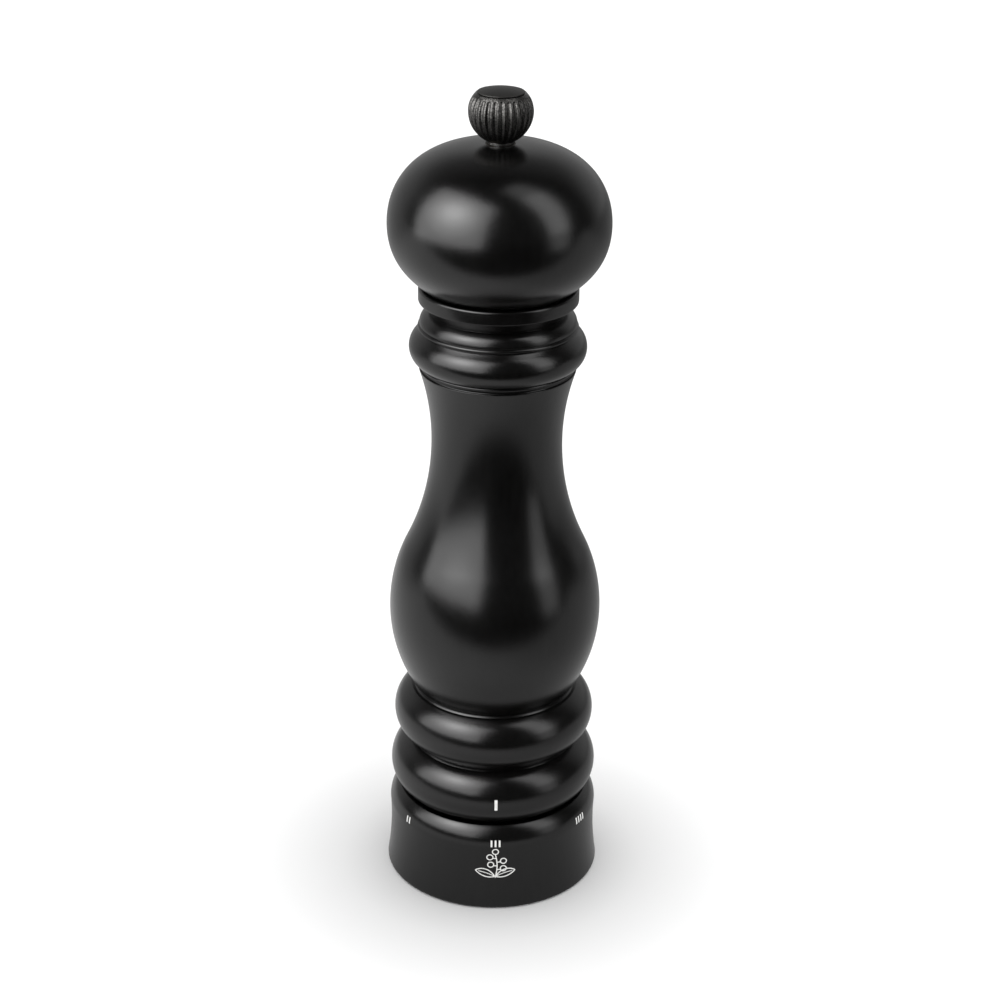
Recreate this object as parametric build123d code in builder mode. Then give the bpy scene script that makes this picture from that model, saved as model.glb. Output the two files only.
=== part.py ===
"""A 220 mm pepper mill: turned head, barrel and grind ring around a steel mechanism.

Units are millimetres. +Z is up, Z = 0 is the table, and the mill's axis is the Z axis.
The front, with the index mark, faces -Y.
"""

from build123d import *
import math
import os

os.makedirs("parts", exist_ok=True)

# ---------------------------------------------------------------- driving dimensions
# Heights above the table.
ring_top = 23.3
barrel_foot = 23.6
barrel_top = 169.0
head_foot = 169.3
head_top = 206.15
total_height = 220.0

# Grind ring: the foot that is turned to set the grind.
ring_foot_radius = 29.35
ring_side_radius = 28.42
ring_side_height = 9.8
ring_brow_radius = 28.52
ring_brow_height = 18.9
ring_crest_radius = 25.9
ring_crest_height = 24.3
ring_well_radius = 25.2
ring_edge_round = 0.5
ring_bore_radius = 23.0
ring_lip_height = 20.9
ring_lip_radius = 21.5

# Barrel: two beads, a bulb, a waist and a collar, from the foot up.
barrel_foot_radius = 22.8
lower_bead_radius = 28.15
lower_bead_height = 31.4
bead_groove_radius = 21.5
bead_groove_height = 39.65
upper_bead_radius = 27.15
upper_bead_height = 47.4
bulb_foot_radius = 21.4
bulb_foot_height = 55.5
bulb_radius = 28.32
bulb_height = 78.5
bulb_share = 0.39
waist_radius = 17.15
waist_height = 126.9
neck_curve = 64.0
neck_top_height = 147.0

# Collar, from the neck up: a thin ring, a bead, a second thin ring, an ovolo and the rim.
lower_quirk_radius = 19.8
lower_ring_radius = 20.3
lower_ring_foot = 147.8
lower_ring_top = 148.5
collar_foot_radius = 21.0
collar_foot_height = 148.95
collar_radius = 22.95
collar_height = 152.7
collar_top_radius = 21.1
collar_top_height = 156.9
upper_quirk_radius = 20.2
upper_ring_radius = 20.7
upper_ring_foot = 157.95
upper_ring_top = 158.75
ovolo_radius = 20.3
ovolo_foot_height = 159.2
ovolo_top_radius = 17.75
ovolo_top_height = 162.5
rim_hollow_radius = 18.95
rim_hollow_height = 163.95
rim_radius = 20.57
rim_side_height = 165.7
rim_edge = 0.6

# Bores and holes of the barrel.
mechanism_bore_radius = 16.9
mechanism_bore_top = 51.5
chamber_radius = 13.0
socket_radius = 13.7
socket_floor = 155.6
fixing_circle = 19.2
fixing_count = 3
fixing_angle = 30
fixing_pilot_radius = 1.0
fixing_pilot_depth = 8.0

# Head: a round turned knob with a tenon that turns in the barrel's socket.
head_foot_radius = 19.6
head_radius = 28.4
head_height = 185.7
head_crown_radius = 4.9
foot_curve_handle = (3.1, 2.9)
below_widest_handle = 9.7
above_widest_handle = 10.2
crown_curve_handle = (16.6, 0.7)
tenon_radius = 13.4
tenon_foot = 158.5
shaft_hole_radius = 4.6
shaft_hole_top = 197.0
stud_hole_radius = 2.8
ferrule_radius = 3.7
ferrule_foot = 200.0

# Metal plate whose square hole turns the shaft with the head.
plate_thickness = 1.5
plate_radius = 11.5
plate_screw_circle = 8.0
plate_screw_count = 2
plate_screw_hole = 1.3
plate_pilot_radius = 1.1
plate_pilot_depth = 9.0

# Knob: a fluted metal nut on the shaft's threaded end.
knob_foot = 207.05
knob_foot_radius = 3.85
knob_radius = 8.17
knob_height = 214.3
knob_brow_radius = 6.27
knob_brow_height = 218.85
flute_count = 28
flute_side = 0.62
flute_foot_offset = (0.35, 0.9)
flute_end_gap = 0.75
cap_radius = 5.88
cap_rim_height = 218.95
cap_rim_thickness = 0.25
cap_seat_radius = 4.9
cap_seat_height = 217.6
insert_radius = 3.3
thread_hole_radius = 2.55
knob_insert_top = 216.6
knob_washer_radius = 3.6
knob_washer_gap = 0.2
knob_washer_thickness = 0.5

# Shaft: a square bar with chamfered corners and a round threaded end.
shaft_side = 6.0
shaft_chamfer = 0.15
shaft_foot = 7.0
shaft_shoulder = 196.0
stud_radius = 2.5
stud_top = 215.0
clip_groove_radius = 3.4
clip_height = 50.3
clip_thickness = 0.9
clip_radius = 6.3
clip_mouth = 5.6
clip_eye_circle = 5.0
clip_eye_radius = 0.8
shaft_end_chamfer = 0.4
screw_bore_radius = 1.5
screw_bore_depth = 12.0

# Mechanism housing, fixed in the barrel.
housing_foot = 10.0
skirt_radius = 17.0
flange_radius = 21.2
flange_foot = 21.4
tube_radius = 16.8
tube_top = 46.5
housing_bore_radius = 15.4
keyway_radius = 16.2
keyway_width = 3.6
keyway_top = 32.0
key_count = 3
boss_circle = 14.6
boss_radius = 1.9
boss_foot = 38.5
boss_angle = 60
boss_pilot_radius = 0.9

# Bridge that carries the shaft's bearing.
bridge_top = 49.2
bridge_hub_foot = 45.4
bridge_hub_radius = 7.2
bridge_rim_bore = 12.6
bridge_arm_width = 3.4
bridge_arm_gap = 0.3
bridge_screw_hole = 1.05
bush_radius = 5.6
bush_bore = 4.2
bush_stand = 0.2
thrust_washer_radius = 6.8
thrust_washer_bore = 4.5
thrust_washer_thickness = 0.8

# Screws: head radius, head height, shank radius and length below the head.
plate_screw = (2.1, 1.1, 1.05, 9.0)
bridge_screw = (1.7, 1.3, 0.85, 9.0)
rotor_screw_sizes = (3.2, 2.0, 1.45, 10.8)
countersink = (1.95, 1.2)
countersunk_screw = (1.9, 1.15, 1.0, 9.4)
clearance_radius = 1.1

# Grinding cones.
rotor_foot = 5.0
rotor_top = 27.0
rotor_foot_radius = 11.6
cone_break_height = 12.0
rotor_break_radius = 10.2
rotor_neck_radius = 9.2
rotor_neck_height = 13.0
rotor_top_radius = 6.2
burr_gap = 0.4
stator_radius = 13.6
stator_top = 21.0
stator_mouth_radius = 12.0
rotor_recess_radius = 6.2
rotor_washer_radius = 5.6
rotor_washer_bore = 1.6
rotor_washer_thickness = 0.8

# Teeth: count, distance of the tool from the axis, its height, slant, side and length.
rotor_fine_teeth = (36, 11.0, 8.5, 22, 0.8, 9.5)
rotor_coarse_teeth = (6, 8.8, 20.5, 34, 3.0, 20)
stator_fine_teeth = (40, 11.3, 8.0, -20, 0.6, 9.0)
stator_coarse_teeth = (12, 11.3, 17.0, -24, 1.3, 9.0)
stator_coarse_lean = 8.0

# Spring that presses the rotor down from its seat.
spring_wire = 0.5
spring_circle = 5.2
spring_turns = 6
spring_end_gap = 0.02
spring_seat_foot = 44.0
spring_seat_radius = 6.6
spring_seat_thickness = 0.9

# Carrier that lifts the stator ring when the grind ring is turned.
carrier_foot = 3.0
carrier_top = 30.0
carrier_radius = 15.1
carrier_lip_radius = 12.5
key_radius = 15.9
key_width = 3.0
key_foot = 14.0
key_top = 28.0
thread_pitch = 1.8
thread_depth = 0.5
thread_turns = 3
carrier_thread_foot = 3.9
carrier_funnel_foot = 12.2
carrier_funnel_mouth = 14.2

# Insert that joins the grind ring to the carrier's thread.
insert_foot = 1.5
insert_bore_radius = 17.3
insert_step_height = 9.4
collar_bore_radius = 15.4
pocket_inner_radius = 18.7
pocket_outer_radius = 21.4
pocket_top = 17.9
rib_count = 12
rib_width = 1.2
insert_thread_foot = 3.0
wire_clearance = 0.375

# Wire ring that keeps the insert on the housing.
wire_radius = 0.35
wire_circle = 17.15
wire_height = 15.0
wire_gap_angle = 30

# Detent: a sprung ball that clicks into six dimples.
# The dimple of setting III is under the ball; the others are one step apart.
setting_step = 56.0
settings_behind = 2
settings_ahead = 3
ball_radius = 1.25
ball_height = 21.9
ball_hole_radius = 1.35
track_floor = 20.6
track_half_width = 1.2
dimple_radius = 1.3
dimple_height = 21.45
ball_hole_top = 31.5
detent_wire = 0.2
detent_coil_radius = 0.9
detent_coil_pitch = 1.0

ON_BASE = (Align.CENTER, Align.CENTER, Align.MIN)
ALONG_X = (Align.MIN, Align.CENTER, Align.MIN)
CLEAR_CUT = 1.0
FIT = 0.05


# -------------------------------------------------------------------------- helpers
def drum(radius, low, high, mode=Mode.ADD):
    """A cylinder on the axis between two heights."""
    with Locations((0, 0, low)):
        Cylinder(radius, high - low, align=ON_BASE, mode=mode)


def bore(radius, low, high):
    """A round hole on the axis between two heights."""
    drum(radius, low, high, mode=Mode.SUBTRACT)


def square_hole(side, low, high):
    """A square hole on the axis between two heights."""
    with Locations((0, 0, low)):
        Box(side, side, high - low, align=ON_BASE, mode=Mode.SUBTRACT)


def ring_groove(inner, outer, low, high):
    """An annular groove about the axis."""
    with BuildSketch(Plane.XY.offset(low)) as ring:
        Circle(outer)
        Circle(inner, mode=Mode.SUBTRACT)
    extrude(ring.sketch, amount=high - low, mode=Mode.SUBTRACT)


def slanted_cuts(teeth, lean):
    """V-shaped grooves around a cone, slanted like saw teeth."""
    count, radius, height, slant, side, length = teeth
    with PolarLocations(0, count):
        with Locations(Location((radius, 0, height), (slant, lean, 0))):
            Box(side, side, length, rotation=(0, 0, 45), mode=Mode.SUBTRACT)


def crossed_slot(length, width, depth):
    """A cross-shaped slot cut down from the current locations, for a screwdriver."""
    Box(length, width, depth, align=ON_BASE, mode=Mode.SUBTRACT)
    Box(width, length, depth, align=ON_BASE, mode=Mode.SUBTRACT)


def coil_spring(mean_radius, wire, foot, height, turns):
    """The edges and section of a round-wire coil, swept in the active part."""
    with BuildLine(Plane.XY.offset(foot)) as coil:
        Helix(pitch=height / turns, height=height, radius=mean_radius)
    with BuildSketch(Plane(origin=coil.line @ 0, z_dir=coil.line % 0)) as section:
        Circle(wire)
    sweep(section.sketch, path=coil.line, is_frenet=True)


# ------------------------------------------------------------------------ grind ring
with BuildPart() as grind_ring:
    with BuildSketch(Plane.XZ):
        with BuildLine():
            Line((0, 0), (ring_foot_radius - ring_edge_round, 0))
            TangentArc(
                (ring_foot_radius - ring_edge_round, 0),
                (ring_foot_radius, ring_edge_round),
                tangent=(1, 0),
            )
            side = ThreePointArc(
                (ring_foot_radius, ring_edge_round),
                (ring_side_radius, ring_side_height),
                (ring_brow_radius, ring_brow_height),
            )
            TangentArc(side @ 1, (ring_crest_radius, ring_crest_height), tangent=(0, 1))
            Line((ring_crest_radius, ring_crest_height), (ring_well_radius, ring_crest_height))
            Line((ring_well_radius, ring_crest_height), (ring_well_radius, ring_top))
            Line((ring_well_radius, ring_top), (0, ring_top))
            Line((0, ring_top), (0, 0))
        make_face()
    revolve(axis=Axis.Z)
    bore(ring_bore_radius, -CLEAR_CUT, ring_lip_height)
    bore(ring_lip_radius, ring_lip_height, ring_top + CLEAR_CUT)
grind_ring.part.label = "grind_ring"
export_step(grind_ring.part, "parts/grind_ring.step")

# ---------------------------------------------------------------------------- barrel
swing = 2 * math.atan((bulb_radius - waist_radius) / (waist_height - bulb_height))
reach = (waist_height - bulb_height) / math.sin(swing)
bulb_curve = bulb_share * reach
waist_curve = reach - bulb_curve
neck_swing = math.asin((neck_top_height - waist_height) / neck_curve)
bulb_drop = bulb_height - bulb_foot_height
bulb_tuck = bulb_radius - bulb_foot_radius
bulb_low_curve = (bulb_drop**2 + bulb_tuck**2) / (2 * bulb_tuck)
bulb_low_swing = math.asin(bulb_drop / bulb_low_curve)

with BuildPart() as barrel:
    with BuildSketch(Plane.XZ):
        with BuildLine():
            Line((0, barrel_foot), (barrel_foot_radius, barrel_foot))
            ThreePointArc(
                (barrel_foot_radius, barrel_foot),
                (lower_bead_radius, lower_bead_height),
                (bead_groove_radius, bead_groove_height),
            )
            ThreePointArc(
                (bead_groove_radius, bead_groove_height),
                (upper_bead_radius, upper_bead_height),
                (bulb_foot_radius, bulb_foot_height),
            )
            CenterArc(
                (bulb_radius - bulb_low_curve, bulb_height),
                bulb_low_curve,
                -math.degrees(bulb_low_swing),
                math.degrees(bulb_low_swing),
            )
            CenterArc(
                (bulb_radius - bulb_curve, bulb_height),
                bulb_curve,
                0,
                math.degrees(swing),
            )
            CenterArc(
                (waist_radius + waist_curve, waist_height),
                waist_curve,
                180 + math.degrees(swing),
                -math.degrees(swing),
            )
            neck = CenterArc(
                (waist_radius + neck_curve, waist_height),
                neck_curve,
                180,
                -math.degrees(neck_swing),
            )
            Polyline(
                neck @ 1,
                (lower_quirk_radius, neck_top_height),
                (lower_quirk_radius, lower_ring_foot),
                (lower_ring_radius, lower_ring_foot),
                (lower_ring_radius, lower_ring_top),
                (lower_quirk_radius, lower_ring_top),
                (lower_quirk_radius, collar_foot_height),
                (collar_foot_radius, collar_foot_height),
            )
            ThreePointArc(
                (collar_foot_radius, collar_foot_height),
                (collar_radius, collar_height),
                (collar_top_radius, collar_top_height),
            )
            Polyline(
                (collar_top_radius, collar_top_height),
                (upper_quirk_radius, collar_top_height + collar_top_radius - upper_quirk_radius),
                (upper_quirk_radius, upper_ring_foot),
                (upper_ring_radius, upper_ring_foot),
                (upper_ring_radius, upper_ring_top),
                (ovolo_radius, upper_ring_top),
                (ovolo_radius, ovolo_foot_height),
            )
            TangentArc(
                (ovolo_radius, ovolo_foot_height),
                (ovolo_top_radius, ovolo_top_height),
                tangent=(0, 1),
            )
            ThreePointArc(
                (ovolo_top_radius, ovolo_top_height),
                (rim_hollow_radius, rim_hollow_height),
                (rim_radius, rim_side_height),
            )
            Line((rim_radius, rim_side_height), (rim_radius, barrel_top - rim_edge))
            TangentArc(
                (rim_radius, barrel_top - rim_edge),
                (rim_radius - rim_edge, barrel_top),
                tangent=(0, 1),
            )
            Line((rim_radius - rim_edge, barrel_top), (0, barrel_top))
            Line((0, barrel_top), (0, barrel_foot))
        make_face()
    revolve(axis=Axis.Z)
    bore(mechanism_bore_radius, barrel_foot - CLEAR_CUT, mechanism_bore_top)
    bore(chamber_radius, mechanism_bore_top, socket_floor)
    bore(socket_radius, socket_floor, barrel_top + CLEAR_CUT)
    # Pilot holes for the housing screws, and the pocket for the detent spring.
    with Locations((0, 0, barrel_foot)):
        with PolarLocations(fixing_circle, fixing_count, start_angle=fixing_angle):
            Cylinder(
                fixing_pilot_radius, fixing_pilot_depth, align=ON_BASE, mode=Mode.SUBTRACT
            )
    with Locations((0, fixing_circle, barrel_foot)):
        Cylinder(ball_hole_radius, ball_hole_top - barrel_foot, align=ON_BASE, mode=Mode.SUBTRACT)
barrel.part.label = "barrel"
export_step(barrel.part, "parts/barrel.step")

# ------------------------------------------------------------------------------ head
with BuildPart() as head:
    with BuildSketch(Plane.XZ):
        with BuildLine():
            Line((0, head_foot), (head_foot_radius, head_foot))
            Bezier(
                (head_foot_radius, head_foot),
                (head_foot_radius + foot_curve_handle[0], head_foot + foot_curve_handle[1]),
                (head_radius, head_height - below_widest_handle),
                (head_radius, head_height),
            )
            Bezier(
                (head_radius, head_height),
                (head_radius, head_height + above_widest_handle),
                (head_crown_radius + crown_curve_handle[0], head_top - crown_curve_handle[1]),
                (head_crown_radius, head_top),
            )
            Line((head_crown_radius, head_top), (0, head_top))
            Line((0, head_top), (0, head_foot))
        make_face()
    revolve(axis=Axis.Z)
    drum(tenon_radius, tenon_foot, head_foot)
    bore(shaft_hole_radius, tenon_foot - CLEAR_CUT, shaft_hole_top)
    bore(stud_hole_radius, shaft_hole_top, ferrule_foot)
    bore(ferrule_radius, ferrule_foot, head_top + CLEAR_CUT)
    with Locations((0, 0, tenon_foot)):
        with PolarLocations(plate_screw_circle, plate_screw_count):
            Cylinder(plate_pilot_radius, plate_pilot_depth, align=ON_BASE, mode=Mode.SUBTRACT)
head.part.label = "head"
export_step(head.part, "parts/head.step")

with BuildPart() as head_ferrule:
    drum(ferrule_radius, ferrule_foot, head_top)
    bore(stud_hole_radius, ferrule_foot - CLEAR_CUT, head_top + CLEAR_CUT)
    chamfer(head_ferrule.edges().filter_by(GeomType.CIRCLE).sort_by(Axis.Z)[-2:], 0.2)
head_ferrule.part.label = "head_ferrule"
export_step(head_ferrule.part, "parts/head_ferrule.step")

plate_foot = tenon_foot - plate_thickness

with BuildPart() as drive_plate:
    with BuildSketch(Plane.XY.offset(plate_foot)):
        Circle(plate_radius)
        Rectangle(shaft_side + 3 * FIT, shaft_side + 3 * FIT, mode=Mode.SUBTRACT)
        with PolarLocations(plate_screw_circle, plate_screw_count):
            Circle(plate_screw_hole, mode=Mode.SUBTRACT)
    extrude(amount=plate_thickness)
drive_plate.part.label = "drive_plate"
export_step(drive_plate.part, "parts/drive_plate.step")

head_radius_of_screw, head_height_of_screw, shank_radius, shank_length = plate_screw
with BuildPart() as plate_screws:
    with Locations((0, 0, plate_foot - head_height_of_screw)):
        with PolarLocations(plate_screw_circle, plate_screw_count):
            Cylinder(head_radius_of_screw, head_height_of_screw, align=ON_BASE)
    fillet(plate_screws.edges().filter_by(GeomType.CIRCLE).group_by(Axis.Z)[0], 0.5)
    with Locations((0, 0, plate_foot)):
        with PolarLocations(plate_screw_circle, plate_screw_count):
            Cylinder(shank_radius, shank_length, align=ON_BASE)
    with Locations((0, 0, plate_foot - head_height_of_screw)):
        with PolarLocations(plate_screw_circle, plate_screw_count):
            crossed_slot(2.4, 0.5, 0.6)
plate_screws.part.label = "plate_screws"
export_step(plate_screws.part, "parts/plate_screws.step")

# ------------------------------------------------------------------------------ knob
with BuildPart(mode=Mode.PRIVATE) as flute_tool:
    with BuildLine(Plane.XZ) as flute_path:
        TangentArc(
            (knob_radius, knob_height),
            (knob_foot_radius + flute_foot_offset[0], knob_foot + flute_foot_offset[1]),
            tangent=(0, -1),
        )
        TangentArc(
            (knob_radius, knob_height),
            (knob_brow_radius + flute_end_gap, knob_brow_height - flute_end_gap),
            tangent=(0, 1),
        )
    path_start = flute_path.line @ 0
    with BuildSketch(Plane(origin=path_start, z_dir=flute_path.line % 0)):
        Rectangle(flute_side, flute_side, rotation=45)
    sweep(path=flute_path.line)

with BuildPart() as knob_body:
    with BuildSketch(Plane.XZ):
        with BuildLine():
            Line((0, knob_foot), (knob_foot_radius, knob_foot))
            TangentArc(
                (knob_radius, knob_height),
                (knob_foot_radius, knob_foot),
                tangent=(0, -1),
            )
            TangentArc(
                (knob_radius, knob_height),
                (knob_brow_radius, knob_brow_height),
                tangent=(0, 1),
            )
            Line((knob_brow_radius, knob_brow_height), (0, knob_brow_height))
            Line((0, knob_brow_height), (0, knob_foot))
        make_face()
    revolve(axis=Axis.Z)
    with PolarLocations(0, flute_count):
        add(flute_tool.part, mode=Mode.SUBTRACT)
    bore(insert_radius, knob_foot - CLEAR_CUT, knob_insert_top)
    bore(cap_seat_radius, cap_seat_height, knob_brow_height + CLEAR_CUT)
knob_body.part.label = "knob_body"
export_step(knob_body.part, "parts/knob_body.step")

# Domed disc with a stem that presses into the knob's seat.
with BuildPart() as knob_cap:
    with BuildSketch(Plane.XZ):
        with BuildLine():
            Line((0, cap_seat_height), (cap_seat_radius, cap_seat_height))
            Line((cap_seat_radius, cap_seat_height), (cap_seat_radius, cap_rim_height))
            Line((cap_seat_radius, cap_rim_height), (cap_radius, cap_rim_height))
            Line((cap_radius, cap_rim_height), (cap_radius, cap_rim_height + cap_rim_thickness))
            TangentArc(
                (0, total_height),
                (cap_radius, cap_rim_height + cap_rim_thickness),
                tangent=(1, 0),
            )
            Line((0, total_height), (0, cap_seat_height))
        make_face()
    revolve(axis=Axis.Z)
knob_cap.part.label = "knob_cap"
export_step(knob_cap.part, "parts/knob_cap.step")

with BuildPart() as knob_insert:
    drum(insert_radius, knob_foot, knob_insert_top)
    bore(thread_hole_radius, knob_foot - CLEAR_CUT, knob_insert_top + CLEAR_CUT)
    chamfer(knob_insert.edges().filter_by(GeomType.CIRCLE).sort_by(Axis.Z)[:1], 0.2)
knob_insert.part.label = "knob_insert"
export_step(knob_insert.part, "parts/knob_insert.step")

washer_foot = head_top + knob_washer_gap
with BuildPart() as knob_washer:
    drum(knob_washer_radius, washer_foot, washer_foot + knob_washer_thickness)
    bore(stud_hole_radius, head_top, head_top + CLEAR_CUT)
knob_washer.part.label = "knob_washer"
export_step(knob_washer.part, "parts/knob_washer.step")

# ----------------------------------------------------------------------------- shaft
with BuildPart() as shaft:
    with BuildSketch(Plane.XY.offset(shaft_foot)):
        bar = Rectangle(shaft_side, shaft_side)
        chamfer(bar.vertices(), shaft_chamfer)
    extrude(amount=shaft_shoulder - shaft_foot)
    drum(stud_radius, shaft_shoulder, stud_top)
    chamfer(shaft.edges().filter_by(GeomType.CIRCLE).sort_by(Axis.Z)[-1], shaft_end_chamfer)
    ring_groove(clip_groove_radius, shaft_side, clip_height, clip_height + clip_thickness)
    bore(screw_bore_radius, shaft_foot - CLEAR_CUT, shaft_foot + screw_bore_depth)
shaft.part.label = "shaft"
export_step(shaft.part, "parts/shaft.step")

with BuildPart() as shaft_clip:
    with BuildSketch(Plane.XY.offset(clip_height)):
        Circle(clip_radius)
        Circle(clip_groove_radius, mode=Mode.SUBTRACT)
        Rectangle(
            clip_radius + CLEAR_CUT, clip_mouth, align=(Align.MIN, Align.CENTER), mode=Mode.SUBTRACT
        )
        with PolarLocations(clip_eye_circle, 2, start_angle=120, angular_range=240):
            Circle(clip_eye_radius, mode=Mode.SUBTRACT)
    extrude(amount=clip_thickness)
shaft_clip.part.label = "shaft_clip"
export_step(shaft_clip.part, "parts/shaft_clip.step")

# --------------------------------------------------------------- housing and bridge
with BuildPart() as mechanism_housing:
    drum(skirt_radius, housing_foot, flange_foot)
    drum(flange_radius, flange_foot, barrel_foot)
    drum(tube_radius, barrel_foot, tube_top)
    bore(housing_bore_radius, housing_foot - CLEAR_CUT, tube_top + CLEAR_CUT)
    with Locations((0, 0, boss_foot)):
        with PolarLocations(boss_circle, fixing_count, start_angle=boss_angle):
            Cylinder(boss_radius, tube_top - boss_foot, align=ON_BASE)
    with Locations((0, 0, housing_foot)):
        with PolarLocations(0, key_count):
            Box(
                keyway_radius,
                keyway_width,
                keyway_top - housing_foot,
                align=ALONG_X,
                mode=Mode.SUBTRACT,
            )
    ring_groove(
        wire_circle - wire_radius,
        skirt_radius + CLEAR_CUT,
        wire_height - wire_radius - FIT,
        wire_height + wire_radius + FIT,
    )
    with Locations((0, 0, boss_foot + 1)):
        with PolarLocations(boss_circle, fixing_count, start_angle=boss_angle):
            Cylinder(boss_pilot_radius, tube_top - boss_foot, align=ON_BASE, mode=Mode.SUBTRACT)
    with Locations((0, 0, flange_foot)):
        with PolarLocations(fixing_circle, fixing_count, start_angle=fixing_angle):
            Cylinder(
                clearance_radius, barrel_foot - flange_foot, align=ON_BASE, mode=Mode.SUBTRACT
            )
            Cone(
                countersink[0], clearance_radius, countersink[1], align=ON_BASE, mode=Mode.SUBTRACT
            )
    with Locations((0, fixing_circle, flange_foot)):
        Cylinder(
            ball_hole_radius, barrel_foot - flange_foot, align=ON_BASE, mode=Mode.SUBTRACT
        )
mechanism_housing.part.label = "mechanism_housing"
export_step(mechanism_housing.part, "parts/mechanism_housing.step")

sunk_radius, sunk_depth, sunk_shank, sunk_length = countersunk_screw
with BuildPart() as housing_screws:
    with Locations((0, 0, flange_foot)):
        with PolarLocations(fixing_circle, fixing_count, start_angle=fixing_angle):
            Cone(sunk_radius, sunk_shank, sunk_depth, align=ON_BASE)
            Cylinder(sunk_shank, sunk_length, align=ON_BASE)
            crossed_slot(1.8, 0.4, 0.5)
housing_screws.part.label = "housing_screws"
export_step(housing_screws.part, "parts/housing_screws.step")

with BuildPart() as top_bridge:
    with BuildSketch(Plane.XY.offset(tube_top)):
        Circle(tube_radius - FIT)
        Circle(bridge_rim_bore, mode=Mode.SUBTRACT)
        with PolarLocations(0, key_count, start_angle=boss_angle):
            Rectangle(boss_circle, bridge_arm_width, align=(Align.MIN, Align.CENTER))
    extrude(amount=bridge_top - tube_top)
    # The arms are deeper between the hub and the housing's screw bosses.
    with BuildSketch(Plane.XY.offset(bridge_hub_foot)):
        Circle(bridge_hub_radius)
        with PolarLocations(0, key_count, start_angle=boss_angle):
            Rectangle(
                boss_circle - boss_radius - bridge_arm_gap,
                bridge_arm_width,
                align=(Align.MIN, Align.CENTER),
            )
    extrude(amount=bridge_top - bridge_hub_foot)
    bore(bush_radius, bridge_hub_foot - CLEAR_CUT, bridge_top + CLEAR_CUT)
    with Locations((0, 0, tube_top)):
        with PolarLocations(boss_circle, fixing_count, start_angle=boss_angle):
            Cylinder(bridge_screw_hole, bridge_top - tube_top, align=ON_BASE, mode=Mode.SUBTRACT)
top_bridge.part.label = "top_bridge"
export_step(top_bridge.part, "parts/top_bridge.step")

cheese_radius, cheese_height, thread_radius, thread_length = bridge_screw
slot_depth = 0.6
with BuildPart() as bridge_screws:
    with Locations((0, 0, bridge_top)):
        with PolarLocations(boss_circle, fixing_count, start_angle=boss_angle):
            Cylinder(cheese_radius, cheese_height, align=ON_BASE)
    with Locations((0, 0, bridge_top - thread_length)):
        with PolarLocations(boss_circle, fixing_count, start_angle=boss_angle):
            Cylinder(thread_radius, thread_length, align=ON_BASE)
    with Locations((0, 0, bridge_top + cheese_height - slot_depth)):
        with PolarLocations(boss_circle, fixing_count, start_angle=boss_angle):
            crossed_slot(2.0, 0.4, CLEAR_CUT)
bridge_screws.part.label = "bridge_screws"
export_step(bridge_screws.part, "parts/bridge_screws.step")

with BuildPart() as shaft_bush:
    drum(bush_radius, bridge_hub_foot - bush_stand, bridge_top)
    bore(bush_bore, bridge_hub_foot - CLEAR_CUT, bridge_top + CLEAR_CUT)
shaft_bush.part.label = "shaft_bush"
export_step(shaft_bush.part, "parts/shaft_bush.step")

with BuildPart() as thrust_washer:
    drum(thrust_washer_radius, bridge_top, bridge_top + thrust_washer_thickness)
    bore(thrust_washer_bore, bridge_top - CLEAR_CUT, bridge_top + CLEAR_CUT)
thrust_washer.part.label = "thrust_washer"
export_step(thrust_washer.part, "parts/thrust_washer.step")

# ----------------------------------------------------------------------------- rotor
rotor_lean = math.degrees(
    math.atan((rotor_foot_radius - rotor_break_radius) / (cone_break_height - rotor_foot))
)
upper_lean = math.degrees(
    math.atan((rotor_neck_radius - rotor_top_radius) / (rotor_top - rotor_neck_height))
)

with BuildPart() as rotor:
    with BuildSketch(Plane.XZ):
        Polygon(
            (0, rotor_foot),
            (rotor_foot_radius, rotor_foot),
            (rotor_break_radius, cone_break_height),
            (rotor_neck_radius, rotor_neck_height),
            (rotor_top_radius, rotor_top),
            (0, rotor_top),
            align=None,
        )
    revolve(axis=Axis.Z)
    slanted_cuts(rotor_fine_teeth, -rotor_lean)
    slanted_cuts(rotor_coarse_teeth, -upper_lean)
    square_hole(shaft_side + 2 * FIT, shaft_foot, rotor_top + CLEAR_CUT)
    bore(rotor_recess_radius, rotor_foot - CLEAR_CUT, shaft_foot)
rotor.part.label = "rotor"
export_step(rotor.part, "parts/rotor.step")

rotor_washer_foot = shaft_foot - rotor_washer_thickness
with BuildPart() as rotor_washer:
    drum(rotor_washer_radius, rotor_washer_foot, shaft_foot)
    bore(rotor_washer_bore, rotor_washer_foot - CLEAR_CUT, shaft_foot + CLEAR_CUT)
rotor_washer.part.label = "rotor_washer"
export_step(rotor_washer.part, "parts/rotor_washer.step")

button_radius, button_height, button_shank, button_length = rotor_screw_sizes
button_foot = rotor_washer_foot - button_height
with BuildPart() as rotor_screw:
    drum(button_radius, button_foot, rotor_washer_foot)
    fillet(rotor_screw.edges().filter_by(GeomType.CIRCLE).sort_by(Axis.Z)[0], 0.7)
    drum(button_shank, rotor_washer_foot, rotor_washer_foot + button_length)
    with Locations((0, 0, button_foot)):
        crossed_slot(3.6, 0.8, 1.0)
rotor_screw.part.label = "rotor_screw"
export_step(rotor_screw.part, "parts/rotor_screw.step")

spring_foot = rotor_top + spring_wire + spring_end_gap
spring_head = spring_seat_foot - spring_wire - spring_end_gap
with BuildPart() as rotor_spring:
    coil_spring(spring_circle, spring_wire, spring_foot, spring_head - spring_foot, spring_turns)
rotor_spring.part.label = "rotor_spring"
export_step(rotor_spring.part, "parts/rotor_spring.step")

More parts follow.
